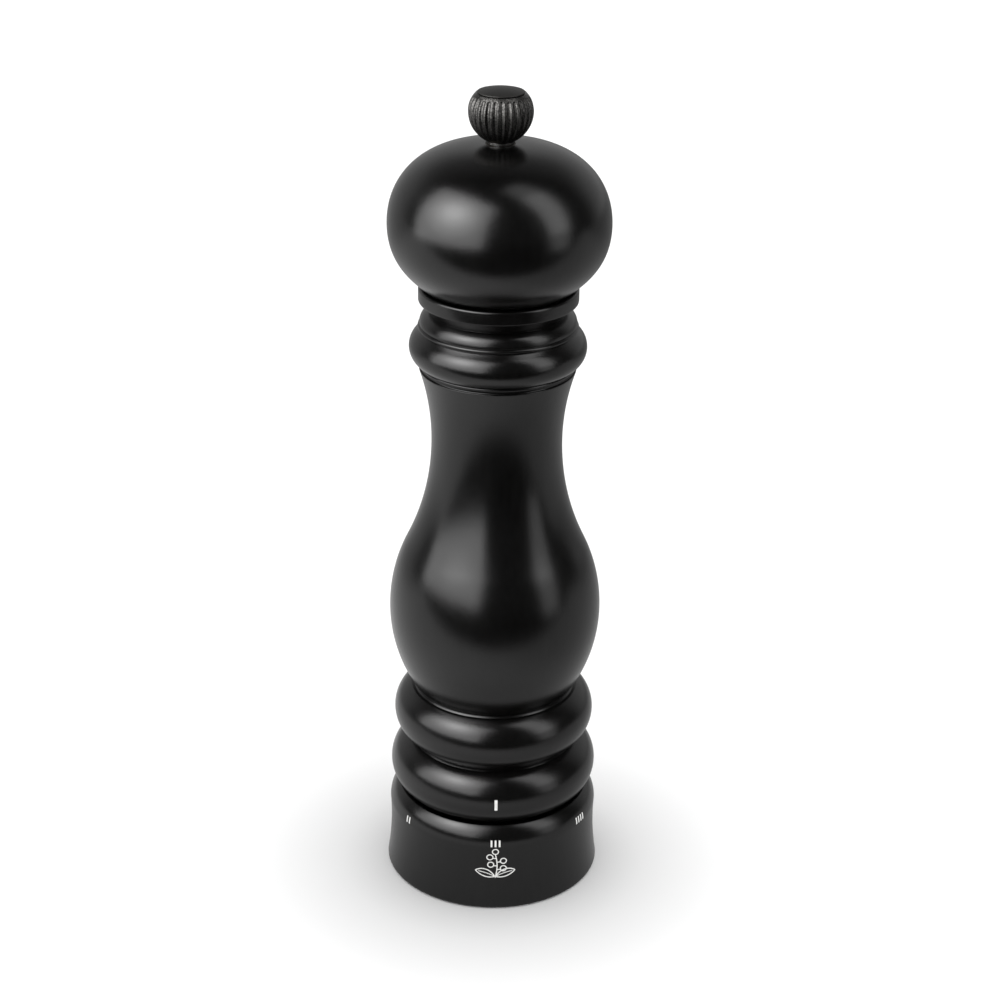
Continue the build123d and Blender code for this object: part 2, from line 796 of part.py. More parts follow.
with BuildPart() as spring_seat:
    with BuildSketch(Plane.XY.offset(spring_seat_foot)):
        Circle(spring_seat_radius)
        Rectangle(shaft_side + 2 * FIT, shaft_side + 2 * FIT, mode=Mode.SUBTRACT)
    extrude(amount=spring_seat_thickness)
spring_seat.part.label = "spring_seat"
export_step(spring_seat.part, "parts/spring_seat.step")

# -------------------------------------------------------------- stator and carrier
with BuildPart() as stator_ring:
    drum(stator_radius, rotor_foot, stator_top)
    with BuildSketch(Plane.XZ):
        Polygon(
            (0, rotor_foot),
            (rotor_foot_radius + burr_gap, rotor_foot),
            (rotor_break_radius + burr_gap, cone_break_height),
            (stator_mouth_radius, stator_top),
            (0, stator_top),
            align=None,
        )
    revolve(axis=Axis.Z, mode=Mode.SUBTRACT)
    slanted_cuts(stator_fine_teeth, -rotor_lean)
    slanted_cuts(stator_coarse_teeth, stator_coarse_lean)
stator_ring.part.label = "stator_ring"
export_step(stator_ring.part, "parts/stator_ring.step")

with BuildPart() as stator_carrier:
    drum(carrier_radius, carrier_foot, carrier_top)
    with Locations((0, 0, key_foot)):
        with PolarLocations(0, key_count):
            Box(key_radius, key_width, key_top - key_foot, align=ALONG_X)
    bore(carrier_lip_radius, carrier_foot - CLEAR_CUT, rotor_foot)
    bore(stator_radius + FIT, rotor_foot, stator_top)
    with Locations((0, 0, stator_top)):
        Cone(
            carrier_funnel_foot,
            carrier_funnel_mouth,
            carrier_top - stator_top,
            align=ON_BASE,
            mode=Mode.SUBTRACT,
        )
    for turn in range(thread_turns):
        groove_foot = carrier_thread_foot + turn * thread_pitch
        ring_groove(
            carrier_radius - thread_depth,
            carrier_radius + CLEAR_CUT,
            groove_foot,
            groove_foot + thread_pitch / 2,
        )
stator_carrier.part.label = "stator_carrier"
export_step(stator_carrier.part, "parts/stator_carrier.step")

# ---------------------------------------------------------------- grind ring insert
with BuildPart() as ring_insert:
    drum(ring_bore_radius, insert_foot, ring_lip_height)
    bore(insert_bore_radius, insert_step_height, ring_lip_height + CLEAR_CUT)
    bore(collar_bore_radius, insert_foot - CLEAR_CUT, insert_step_height)
    with BuildSketch(Plane.XY.offset(insert_foot)):
        Circle(pocket_outer_radius)
        Circle(pocket_inner_radius, mode=Mode.SUBTRACT)
        with PolarLocations(0, rib_count):
            Rectangle(
                ring_bore_radius,
                rib_width,
                align=(Align.MIN, Align.CENTER),
                mode=Mode.SUBTRACT,
            )
    extrude(amount=pocket_top - insert_foot, mode=Mode.SUBTRACT)
    ring_groove(
        insert_bore_radius - CLEAR_CUT,
        wire_circle + wire_radius + wire_clearance,
        wire_height - wire_radius - wire_clearance,
        wire_height + wire_radius + wire_clearance,
    )
    for turn in range(thread_turns):
        groove_foot = insert_thread_foot + turn * thread_pitch
        ring_groove(
            collar_bore_radius - CLEAR_CUT,
            collar_bore_radius + thread_depth,
            groove_foot,
            groove_foot + thread_pitch / 2,
        )
    ring_groove(
        fixing_circle - track_half_width,
        fixing_circle + track_half_width,
        track_floor,
        ring_lip_height + CLEAR_CUT,
    )
    for step in range(-settings_behind, settings_ahead + 1):
        dimple_angle = math.radians(90 + step * setting_step)
        dimple_x = fixing_circle * math.cos(dimple_angle)
        dimple_y = fixing_circle * math.sin(dimple_angle)
        with Locations((dimple_x, dimple_y, dimple_height)):
            Sphere(dimple_radius, mode=Mode.SUBTRACT)
ring_insert.part.label = "ring_insert"
export_step(ring_insert.part, "parts/ring_insert.step")

# ----------------------------------------------------------- retaining wire, detent
with BuildPart() as retaining_wire:
    with BuildSketch(Plane.XZ):
        with Locations((wire_circle, wire_height)):
            Circle(wire_radius)
    revolve(axis=Axis.Z, revolution_arc=360 - wire_gap_angle)
retaining_wire.part.label = "retaining_wire"
export_step(retaining_wire.part, "parts/retaining_wire.step")

with BuildPart() as detent_ball:
    with Locations((0, fixing_circle, ball_height)):
        Sphere(ball_radius)
detent_ball.part.label = "detent_ball"
export_step(detent_ball.part, "parts/detent_ball.step")

detent_spring_foot = ball_height + ball_radius + detent_wire
detent_spring_top = ball_hole_top - 1.2 * detent_wire
with BuildPart() as detent_spring:
    with BuildLine(Plane((0, fixing_circle, detent_spring_foot))) as detent_coil:
        Helix(
            pitch=detent_coil_pitch,
            height=detent_spring_top - detent_spring_foot,
            radius=detent_coil_radius,
        )
    with BuildSketch(Plane(origin=detent_coil.line @ 0, z_dir=detent_coil.line % 0)):
        Circle(detent_wire)
    sweep(path=detent_coil.line, is_frenet=True)
detent_spring.part.label = "detent_spring"
export_step(detent_spring.part, "parts/detent_spring.step")
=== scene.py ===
"""Looks for a 220 mm pepper mill: lacquered turned wood, a fluted knob, printed marks and the metal inside.

Lengths are millimetres until a mesh is made, where MM turns them into metres. +Z is up, the mill's
axis is the Z axis, and its front, with the index mark, faces -Y.
"""

import math

import bmesh
import bpy
from mathutils import Matrix, Vector


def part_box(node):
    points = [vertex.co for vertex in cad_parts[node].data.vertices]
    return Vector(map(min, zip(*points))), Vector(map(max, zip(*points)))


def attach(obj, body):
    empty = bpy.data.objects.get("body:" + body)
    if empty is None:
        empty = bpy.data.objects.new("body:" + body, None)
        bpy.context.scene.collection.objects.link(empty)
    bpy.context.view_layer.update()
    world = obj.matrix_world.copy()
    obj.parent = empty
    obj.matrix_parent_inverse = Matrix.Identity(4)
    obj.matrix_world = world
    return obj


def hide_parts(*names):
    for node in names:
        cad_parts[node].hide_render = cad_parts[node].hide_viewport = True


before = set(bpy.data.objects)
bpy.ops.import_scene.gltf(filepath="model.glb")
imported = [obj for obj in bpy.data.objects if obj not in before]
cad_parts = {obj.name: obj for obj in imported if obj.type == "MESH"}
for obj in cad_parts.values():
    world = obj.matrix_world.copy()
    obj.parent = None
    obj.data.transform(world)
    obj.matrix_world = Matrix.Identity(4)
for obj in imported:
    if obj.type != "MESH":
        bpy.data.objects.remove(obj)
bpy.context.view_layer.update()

MM = 0.001
TURN = 2 * math.pi


# ------------------------------------------------------------------ heights from the CAD parts
def low_of(node):
    """The lowest height of a CAD node, in millimetres."""
    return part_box(node)[0].z / MM


def top_of(node):
    """The highest height of a CAD node, in millimetres."""
    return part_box(node)[1].z / MM


def radius_of(node):
    """The largest distance of a CAD node from the axis along X, in millimetres."""
    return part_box(node)[1].x / MM


ring_foot_radius = radius_of("grind_ring")
barrel_foot = low_of("barrel")
barrel_top = top_of("barrel")
bulb_radius = radius_of("barrel")
head_radius = radius_of("head")
head_top = top_of("head")
tenon_foot = low_of("head")
knob_foot = low_of("knob_body")
knob_radius = radius_of("knob_body")
knob_brow_height = top_of("knob_body")
total_height = top_of("knob_cap")

# Grind ring.
ring_top = 23.3
ring_side_radius = 28.42
ring_side_height = 9.8
ring_brow_radius = 28.52
ring_brow_height = 18.9
ring_crest_radius = 25.9
ring_crest_height = 24.3
ring_well_radius = 25.2
ring_edge_round = 0.5
ring_bore_radius = 23.0
ring_lip_height = 20.9
ring_lip_radius = 21.5

# Barrel.
barrel_foot_radius = 22.8
lower_bead_radius = 28.15
lower_bead_height = 31.4
bead_groove_radius = 21.5
bead_groove_height = 39.65
upper_bead_radius = 27.15
upper_bead_height = 47.4
bulb_foot_radius = 21.4
bulb_foot_height = 55.5
bulb_height = 78.5
bulb_share = 0.39
lower_bead_quirk = ((22.45, 38.75), (22.15, 39.1))
upper_bead_quirk = ((21.8, 55.05), (21.55, 55.42))
waist_radius = 17.15
waist_height = 126.9
neck_curve = 64.0
neck_top_height = 147.0

# Collar, from the neck up: a thin ring, a bead, a second thin ring, an ovolo and the rim.
lower_quirk_radius = 19.8
lower_ring_radius = 20.3
lower_ring_foot = 147.6
lower_ring_top = 148.65
collar_foot = (21.0, 148.95)
collar_radius = 22.95
collar_height = 152.7
collar_top = (21.1, 156.9)
upper_quirk_radius = 20.2
upper_ring_radius = 20.7
upper_ring_foot = 157.85
upper_ring_top = 158.95
ovolo_foot = (20.3, 159.2)
ovolo_top = (17.75, 162.5)
rim_hollow = (18.95, 163.95)
rim_radius = 20.57
rim_side_height = 165.7
rim_edge = 0.6
rim_fillet = 0.45

# Bores and holes of the barrel.
mechanism_bore_radius = 16.9
mechanism_bore_top = 51.5
chamber_radius = 13.0
socket_radius = 13.7
socket_floor = 155.6
fixing_circle = 19.2
fixing_count = 3
fixing_angle = 30
detent_hole_radius = 1.35
detent_hole_top = 31.5
housing_pilot_radius = 1.0
housing_pilot_top = 31.6

# Head.
head_foot = 169.3
head_foot_radius = 19.6
head_height = 185.7
head_crown_radius = 4.9
foot_curve_handle = (3.1, 2.9)
below_widest_handle = 9.7
above_widest_handle = 10.2
crown_curve_handle = (16.6, 0.7)
tenon_radius = 13.4
shaft_hole_radius = 4.6
shaft_hole_top = 197.0
stud_hole_radius = 2.8
ferrule_radius = 3.7
ferrule_foot = 200.0
plate_screw_circle = 8.0
plate_screw_count = 2
plate_pilot_radius = 1.1
plate_pilot_top = 167.5

# Knob.
knob_foot_radius = 3.85
knob_height = 214.3
knob_brow_radius = 6.27
knob_insert_radius = 3.3
flute_count = 28
flute_depth = 0.46
flute_half_width = 0.66
flute_low_end = 208.4
flute_high_end = 217.55
cap_radius = 5.88
cap_rim_height = 218.95
cap_rim_thickness = 0.25
cap_seat_radius = 4.9
cap_seat_height = 217.6

# Printed marks: tallies from one to six, a step apart round the ring, and an index bar above.
setting_step = 56.0
tally_low = 19.1
tally_high = 21.0
tally_width = 0.48
tally_pitch = 1.1
index_low = 30.4
index_high = 33.5
index_width = 0.8
sprig_line = 0.3
sprig_foot = 9.3
sprig_crown = 16.7
sprig_sway = 0.5
corn_radius = 0.82
corn_reach = 1.75
corn_lift = 0.4
ink_stand = 0.02
ink_depth = 0.06

LATHE_SEGMENTS = 192
EDGE_ROUND = 0.22
QUIRK_WIDTH = 0.3


# ------------------------------------------------------------------------ outline curves
def arc_about(centre, radius, start, swing, steps):
    """Points on a circle, from a start angle through a swing, both in radians."""
    points = []
    for i in range(steps + 1):
        angle = start + swing * i / steps
        points.append((centre[0] + radius * math.cos(angle), centre[1] + radius * math.sin(angle)))
    return points


def arc_through(start, middle, end, steps=32):
    """Points on the circle through three points."""
    (ax, ay), (bx, by), (cx, cy) = start, middle, end
    area = 2 * (ax * (by - cy) + bx * (cy - ay) + cx * (ay - by))
    a2, b2, c2 = ax * ax + ay * ay, bx * bx + by * by, cx * cx + cy * cy
    x = (a2 * (by - cy) + b2 * (cy - ay) + c2 * (ay - by)) / area
    y = (a2 * (cx - bx) + b2 * (ax - cx) + c2 * (bx - ax)) / area
    first = math.atan2(ay - y, ax - x)
    turn = 1 if area > 0 else -1
    swing = (turn * (math.atan2(cy - y, cx - x) - first)) % TURN
    return arc_about((x, y), math.hypot(ax - x, ay - y), first, turn * swing, steps)


def arc_leaving_upright(start, end, steps=24):
    """Points on the arc that leaves its start vertically and reaches its end."""
    across, along = end[0] - start[0], end[1] - start[1]
    radius = (across**2 + along**2) / (2 * across)
    centre = (start[0] + radius, start[1])
    first = math.pi if radius > 0 else 0.0
    last = math.atan2(along, across - radius)
    swing = (last - first + math.pi) % TURN - math.pi
    return arc_about(centre, abs(radius), first, swing, steps)


def bezier(p0, p1, p2, p3, steps=56):
    """Points on a cubic Bezier curve."""
    points = []
    for i in range(steps + 1):
        t = i / steps
        weights = ((1 - t) ** 3, 3 * (1 - t) ** 2 * t, 3 * (1 - t) * t * t, t**3)
        points.append(tuple(sum(w * p[k] for w, p in zip(weights, (p0, p1, p2, p3))) for k in (0, 1)))
    return points


def without_repeats(points):
    """The points with neighbours that coincide joined."""
    kept = []
    for point in points:
        if not kept or math.dist(kept[-1], point) > 1e-4:
            kept.append(point)
    return kept


def eased(points, radius=EDGE_ROUND, sharpest=22.0):
    """A closed outline whose corners are rounded, as turning, sanding and lacquer leave them."""
    points = without_repeats(points + points[:1])[:-1]
    count = len(points)
    result = []
    for i, corner in enumerate(points):
        before, after = points[i - 1], points[(i + 1) % count]
        into = Vector((corner[0] - before[0], corner[1] - before[1]))
        out = Vector((after[0] - corner[0], after[1] - corner[1]))
        turn = into.angle(out)
        if turn < math.radians(sharpest):
            result.append(corner)
            continue
        trim = min(radius * math.tan(min(turn, 2.6) / 2), 0.42 * into.length, 0.42 * out.length)
        start = Vector(corner) - into.normalized() * trim
        end = Vector(corner) + out.normalized() * trim
        for k in range(6):
            t = k / 5
            point = start * (1 - t) ** 2 + 2 * Vector(corner) * t * (1 - t) + end * t * t
            result.append((point.x, point.y))
    return result


def radius_at(outline, height):
    """The outer radius of an outline at a height."""
    best = 0.0
    for (r0, z0), (r1, z1) in zip(outline, outline[1:] + outline[:1]):
        if z0 != z1 and min(z0, z1) <= height <= max(z0, z1):
            best = max(best, r0 + (r1 - r0) * (height - z0) / (z1 - z0))
    return best


# ----------------------------------------------------------------------------- mesh making
def add_piece(name, verts, faces, body, slot_name, material, smooth_angle=40.0):
    """A mesh object in metres, smooth but for its sharp edges, that rides on a body."""
    mesh = bpy.data.meshes.new(name)
    mesh.from_pydata([(x * MM, y * MM, z * MM) for x, y, z in verts], [], faces)
    mesh.validate()
    piece = bpy.data.objects.new(name, mesh)
    bpy.context.scene.collection.objects.link(piece)
    tidy_normals(mesh, smooth_angle)
    mesh.materials.append(material)
    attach(piece, body)
    return piece


def tidy_normals(mesh, smooth_angle=40.0):
    """Faces point outwards and shade smooth, with sharp edges kept."""
    bm = bmesh.new()
    bm.from_mesh(mesh)
    bmesh.ops.recalc_face_normals(bm, faces=bm.faces)
    bm.to_mesh(mesh)
    bm.free()
    mesh.polygons.foreach_set("use_smooth", [True] * len(mesh.polygons))
    mesh.set_sharp_from_angle(angle=math.radians(smooth_angle))


def lathe_mesh(outline, closed=True, segments=LATHE_SEGMENTS, wobble=None):
    """Vertices and quads of an outline turned about the Z axis. An outline that isn't closed
    starts and ends on the axis. wobble(angle, radius, height) gives a radius in its place."""
    points = outline if closed else outline[1:-1]
    verts = []
    for radius, height in points:
        for k in range(segments):
            angle = TURN * k / segments
            r = wobble(angle, radius, height) if wobble else radius
            verts.append((r * math.cos(angle), r * math.sin(angle), height))
    faces = []
    rows = len(points)
    for i in range(rows if closed else rows - 1):
        low, high = i * segments, (i + 1) % rows * segments
        for k in range(segments):
            n = (k + 1) % segments
            faces.append((low + k, low + n, high + n, high + k))
    if not closed:
        for end, row in ((outline[0], 0), (outline[-1], rows - 1)):
            tip = len(verts)
            verts.append((0.0, 0.0, end[1]))
            start = row * segments
            faces += [(start + k, start + (k + 1) % segments, tip) for k in range(segments)]
    return verts, faces


def drill(piece, spots, radius, low, high):
    """Round holes in a piece, parallel to the axis, cut with a Boolean that is applied."""
    cutter_mesh = bpy.data.meshes.new("cutter")
    bm = bmesh.new()
    for x, y in spots:
        place = Matrix.Translation((x * MM, y * MM, (low + high) / 2 * MM))
        bmesh.ops.create_cone(
            bm, cap_ends=True, segments=24, radius1=radius * MM, radius2=radius * MM,
            depth=(high - low) * MM, matrix=place,
        )
    bm.to_mesh(cutter_mesh)
    bm.free()
    cutter = bpy.data.objects.new("cutter", cutter_mesh)
    bpy.context.scene.collection.objects.link(cutter)
    cut = piece.modifiers.new("holes", "BOOLEAN")
    cut.object = cutter
    cut.solver = "EXACT"
    graph = bpy.context.evaluated_depsgraph_get()
    result = bpy.data.meshes.new_from_object(piece.evaluated_get(graph))
    piece.modifiers.clear()
    piece.data = result
    bpy.data.objects.remove(cutter)
    result.set_sharp_from_angle(angle=math.radians(40))


def ring_spots(circle, count, first):
    """Places on a circle, the first at an angle in degrees."""
    spots = []
    for k in range(count):
        angle = math.radians(first + 360 * k / count)
        spots.append((circle * math.cos(angle), circle * math.sin(angle)))
    return spots


# ------------------------------------------------------------------------------- materials
class Shader:
    """A node material about one Principled BSDF, with the few textures that the mill needs."""

    def __init__(self, name):
        self.material = bpy.data.materials.new(name)
        self.material.use_nodes = True
        self.nodes = self.material.node_tree.nodes
        self.links = self.material.node_tree.links
        self.shader = self.nodes["Principled BSDF"]
        self.where = self.nodes.new("ShaderNodeTexCoord").outputs["Object"]

    def set(self, **values):
        """Constant inputs of the shader; an underscore stands for a space."""
        for name, value in values.items():
            self.shader.inputs[name.replace("_", " ")].default_value = value

    def stretched(self, scale):
        """Object coordinates with their own scale on each axis."""
        mapping = self.nodes.new("ShaderNodeMapping")
        mapping.inputs["Scale"].default_value = scale
        self.links.new(self.where, mapping.inputs["Vector"])
        return mapping.outputs["Vector"]

    def turned(self, across, along):
        """Coordinates (distance from the axis, angle, height), for marks left by turning."""
        split = self.nodes.new("ShaderNodeSeparateXYZ")
        self.links.new(self.where, split.inputs[0])
        radius = self.nodes.new("ShaderNodeVectorMath")
        radius.operation = "LENGTH"
        flat = self.nodes.new("ShaderNodeCombineXYZ")
        self.links.new(split.outputs["X"], flat.inputs["X"])
        self.links.new(split.outputs["Y"], flat.inputs["Y"])
        self.links.new(flat.outputs[0], radius.inputs[0])
        scaled_radius = self.math("MULTIPLY", radius.outputs["Value"], across)
        scaled_height = self.math("MULTIPLY", split.outputs["Z"], along)
        joined = self.nodes.new("ShaderNodeCombineXYZ")
        self.links.new(scaled_radius, joined.inputs["X"])
        self.links.new(scaled_height, joined.inputs["Z"])
        return joined.outputs[0]

    def math(self, operation, value, other):
        """One Math node on a linked value and a number."""
        node = self.nodes.new("ShaderNodeMath")
        node.operation = operation
        self.links.new(value, node.inputs[0])
        node.inputs[1].default_value = other
        return node.outputs[0]

    def noise(self, scale, detail=3.0, roughness=0.5, vector=None):
        """The factor of a noise texture; scale is in features per metre."""
        node = self.nodes.new("ShaderNodeTexNoise")
        node.inputs["Scale"].default_value = scale
        node.inputs["Detail"].default_value = detail
        node.inputs["Roughness"].default_value = roughness
        self.links.new(vector or self.where, node.inputs["Vector"])
        return node.outputs["Fac"]

    def ramp(self, value, *stops):
        """Colours between stops of (position, colour), driven by a value."""
        node = self.nodes.new("ShaderNodeValToRGB")
        elements = node.color_ramp.elements
        elements[0].position, elements[0].color = stops[0][0], (*stops[0][1], 1)
        elements[1].position, elements[1].color = stops[-1][0], (*stops[-1][1], 1)
        for position, colour in stops[1:-1]:
            elements.new(position).color = (*colour, 1)
        self.links.new(value, node.inputs["Fac"])
        return node.outputs["Color"]

    def spread(self, value, low, high, start=0.3, end=0.7):
        """A value mapped from start..end to low..high."""
        node = self.nodes.new("ShaderNodeMapRange")
        node.inputs["From Min"].default_value = start
        node.inputs["From Max"].default_value = end
        node.inputs["To Min"].default_value = low
        node.inputs["To Max"].default_value = high
        self.links.new(value, node.inputs["Value"])
        return node.outputs["Result"]

    def colour(self, source):
        self.links.new(source, self.shader.inputs["Base Color"])

    def roughness(self, source):
        self.links.new(source, self.shader.inputs["Roughness"])

    def bump(self, height, distance, strength=1.0):
        """Relief of a height map, distance in millimetres; calls add up."""
        node = self.nodes.new("ShaderNodeBump")
        node.inputs["Strength"].default_value = strength
        node.inputs["Distance"].default_value = distance * MM
        self.links.new(height, node.inputs["Height"])
        normal = self.shader.inputs["Normal"]
        if normal.links:
            self.links.new(normal.links[0].from_socket, node.inputs["Normal"])
        self.links.new(node.outputs["Normal"], normal)


def black_lacquer():
    """Satin black lacquer on beech: the grain only just tells through it, with a fine eggshell texture."""
    look = Shader("black_satin_lacquer")
    look.set(IOR=1.5)
    grain = look.noise(1.0, 4, 0.6, look.stretched((900, 900, 45)))
    look.colour(look.ramp(grain, (0.35, (0.0016, 0.0015, 0.0014)), (0.7, (0.0030, 0.0029, 0.0028))))
    cloud = look.noise(160, 3, 0.6)
    look.roughness(look.spread(cloud, 0.205, 0.235))
    look.bump(grain, 0.004)
    look.bump(look.noise(2900, 2, 0.6), 0.024)
    look.bump(look.noise(500, 2, 0.5), 0.006)
    return look.material


def bare_beech():
    """Turned beech without lacquer, inside the bores and on the head's tenon."""
    look = Shader("bare_beech")
    grain = look.noise(1.0, 5, 0.6, look.stretched((420, 420, 30)))
    flecks = look.noise(1.0, 2, 0.5, look.stretched((1500, 1500, 260)))
    base = look.ramp(grain, (0.3, (0.42, 0.26, 0.14)), (0.55, (0.55, 0.36, 0.20)), (0.75, (0.62, 0.43, 0.26)))
    dark = look.ramp(flecks, (0.28, (0.45, 0.36, 0.30)), (0.42, (1.0, 1.0, 1.0)))
    mix = look.nodes.new("ShaderNodeMix")
    mix.data_type = "RGBA"
    mix.blend_type = "MULTIPLY"
    mix.inputs["Factor"].default_value = 1.0
    look.links.new(base, mix.inputs["A"])
    look.links.new(dark, mix.inputs["B"])
    look.colour(mix.outputs["Result"])
    look.roughness(look.spread(grain, 0.55, 0.7))
    look.bump(flecks, 0.05)
    look.bump(look.noise(1.0, 2, 0.5, look.turned(200, 2600)), 0.02)
    return look.material


def dark_knob_metal():
    """Black-nickelled metal with a fine sandy cast texture that sparkles on the ribs."""
    look = Shader("dark_knob_metal")
    look.set(Metallic=1.0)
    sand = look.noise(4200, 3, 0.7)
    patches = look.noise(900, 2, 0.5)
    speckle = look.noise(2600, 3, 0.7)
    look.colour(look.ramp(speckle, (0.34, (0.018, 0.0175, 0.017)), (0.66, (0.12, 0.117, 0.113))))
    look.roughness(look.spread(sand, 0.2, 0.36))
    look.bump(sand, 0.07)
    look.bump(patches, 0.03)
    return look.material


def cap_metal():
    """The knob's disc: the same dark metal, blasted matt, with faint turning rings."""
    look = Shader("dark_cap_metal")
    look.set(Metallic=1.0)
    sand = look.noise(4800, 3, 0.6)
    rings = look.noise(1.0, 2, 0.5, look.turned(4000, 0))
    look.colour(look.ramp(sand, (0.3, (0.05, 0.049, 0.047)), (0.7, (0.09, 0.088, 0.085))))
    look.roughness(look.spread(sand, 0.42, 0.55))
    look.bump(sand, 0.025)
    look.bump(rings, 0.01)
    return look.material


def white_ink():
    """Pad-printed ink, a little uneven where it covers the lacquer."""
    look = Shader("white_print")
    cover = look.noise(2400, 3, 0.6)
    look.colour(look.ramp(cover, (0.25, (0.56, 0.56, 0.55)), (0.5, (0.80, 0.80, 0.78))))
    look.roughness(look.spread(cover, 0.42, 0.6))
    look.bump(cover, 0.008)
    return look.material


def brushed_metal(name, dark, light, rough=(0.24, 0.36), scratches=(60, 3200), depth=0.01):
    """Machined metal with turning marks round the axis and small changes of tone."""
    look = Shader(name)
    look.set(Metallic=1.0)
    marks = look.noise(1.0, 4, 0.65, look.turned(*scratches))
    tone = look.noise(260, 3, 0.6)
    look.colour(look.ramp(tone, (0.3, dark), (0.7, light)))
    look.roughness(look.spread(marks, *rough))
    look.bump(marks, depth)
    return look.material


def drawn_metal(name, dark, light, rough):
    """Extruded or drawn metal with fine lines along its length."""
    look = Shader(name)
    look.set(Metallic=1.0)
    lines = look.noise(1.0, 3, 0.6, look.stretched((3600, 3600, 40)))
    tone = look.noise(140, 3, 0.6)
    look.colour(look.ramp(tone, (0.3, dark), (0.7, light)))
    look.roughness(look.spread(lines, *rough))
    look.bump(lines, 0.01)
    return look.material


def hard_burr_steel():
    """Case-hardened steel of the burrs: dark grey with a blotchy, slightly oiled skin."""
    look = Shader("case_hardened_steel")
    look.set(Metallic=1.0)
    blotches = look.noise(300, 5, 0.65)
    grit = look.noise(3800, 2, 0.6)
    look.colour(
        look.ramp(
            blotches, (0.3, (0.20, 0.195, 0.19)), (0.5, (0.30, 0.295, 0.29)), (0.7, (0.36, 0.36, 0.37))
        )
    )
    look.roughness(look.spread(blotches, 0.28, 0.46))
    look.bump(grit, 0.012)
    return look.material


def moulded_plastic(name, dark, light, rough=(0.42, 0.55), through=0.0):
    """Injection-moulded plastic with a fine spark-eroded texture."""
    look = Shader(name)
    look.set(IOR=1.49, Subsurface_Weight=through)
    look.shader.inputs["Subsurface Scale"].default_value = 0.001
    grain = look.noise(3000, 3, 0.6)
    flow = look.noise(90, 3, 0.6)
    look.colour(look.ramp(flow, (0.3, dark), (0.7, light)))
    look.roughness(look.spread(grain, *rough))
    look.bump(grain, 0.01)
    return look.material


lacquer = black_lacquer()
beech = bare_beech()
ink = white_ink()
knob_metal = dark_knob_metal()


# --------------------------------------------------------------------------- turned pieces
def paint_inside(piece, is_bare):
    """Bare wood on the faces whose middle, as (radius, height) in millimetres, is_bare accepts."""
    piece.data.materials.append(beech)
    for face in piece.data.polygons:
        middle = face.center / MM
        if is_bare(math.hypot(middle.x, middle.y), middle.z):
            face.material_index = 1


def ring_outline():
    """Half section of the grind ring."""
    side_foot, side = (ring_foot_radius, ring_edge_round), (ring_side_radius, ring_side_height)
    brow, crest = (ring_brow_radius, ring_brow_height), (ring_crest_radius, ring_crest_height)
    outline = [(ring_bore_radius, 0.0)]
    outline += arc_about(
        (ring_foot_radius - ring_edge_round, ring_edge_round), ring_edge_round, -math.pi / 2, math.pi / 2, 8
    )
    outline += arc_through(side_foot, side, brow)
    outline += arc_leaving_upright(brow, crest)
    outline += [(ring_well_radius, ring_crest_height), (ring_well_radius, ring_top)]
    outline += [(ring_lip_radius, ring_top), (ring_lip_radius, ring_lip_height)]
    outline += [(ring_bore_radius, ring_lip_height)]
    return eased(outline)


def bulb_and_waist():
    """The long curve from the bulb's foot over the waist to the collar."""
    drop, tuck = bulb_height - bulb_foot_height, bulb_radius - bulb_foot_radius
    low_curve = (drop**2 + tuck**2) / (2 * tuck)
    low_swing = math.asin(drop / low_curve)
    swing = 2 * math.atan((bulb_radius - waist_radius) / (waist_height - bulb_height))
    reach = (waist_height - bulb_height) / math.sin(swing)
    bulb_curve = bulb_share * reach
    waist_curve = reach - bulb_curve
    neck_swing = math.asin((neck_top_height - waist_height) / neck_curve)
    curve = arc_about((bulb_radius - low_curve, bulb_height), low_curve, -low_swing, low_swing, 40)
    curve += arc_about((bulb_radius - bulb_curve, bulb_height), bulb_curve, 0, swing, 32)
    curve += arc_about(
        (waist_radius + waist_curve, waist_height), waist_curve, math.pi + swing, -swing, 40
    )
    curve += arc_about((waist_radius + neck_curve, waist_height), neck_curve, math.pi, -neck_swing, 24)
    return curve


def half_round(quirk_radius, radius, low, high):
    """A thin turned ring that stands out from a groove."""
    return arc_through((quirk_radius, low), (radius, (low + high) / 2), (quirk_radius, high), 10)


def shortened(curve, radius):
    """A curve without its last points, those nearer the axis than a radius."""
    while curve[-1][0] < radius:
        curve = curve[:-1]
    return curve


